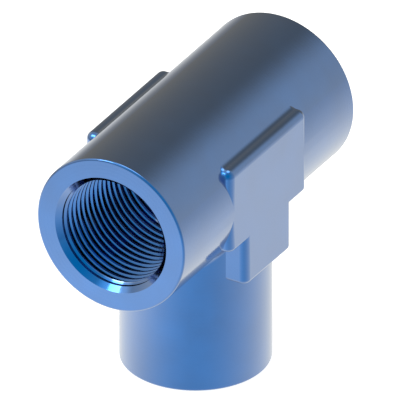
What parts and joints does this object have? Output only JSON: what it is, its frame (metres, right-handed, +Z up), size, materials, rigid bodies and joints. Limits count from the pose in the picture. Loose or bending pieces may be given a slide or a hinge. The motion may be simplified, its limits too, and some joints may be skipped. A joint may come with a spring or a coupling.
{
  "type": "female threaded pipe tee",
  "caption": "Straight pipe tee, bored and threaded inside each port, with a T-shaped wrench pad on each side and a branch that points down.",
  "frame": {"origin": "centre of the branch's end face, on the surface that the part stands on", "axes": "+Z up the branch to the run, +Y along the run, +X out of one wrench pad"},
  "size_m": [0.036, 0.072, 0.0648],
  "materials": {
    "anodised_body": "blue anodised, smooth and glossy"
  },
  "bodies": {
    "root": {"tee_body": "anodised_body"}
  },
  "joints": []
}
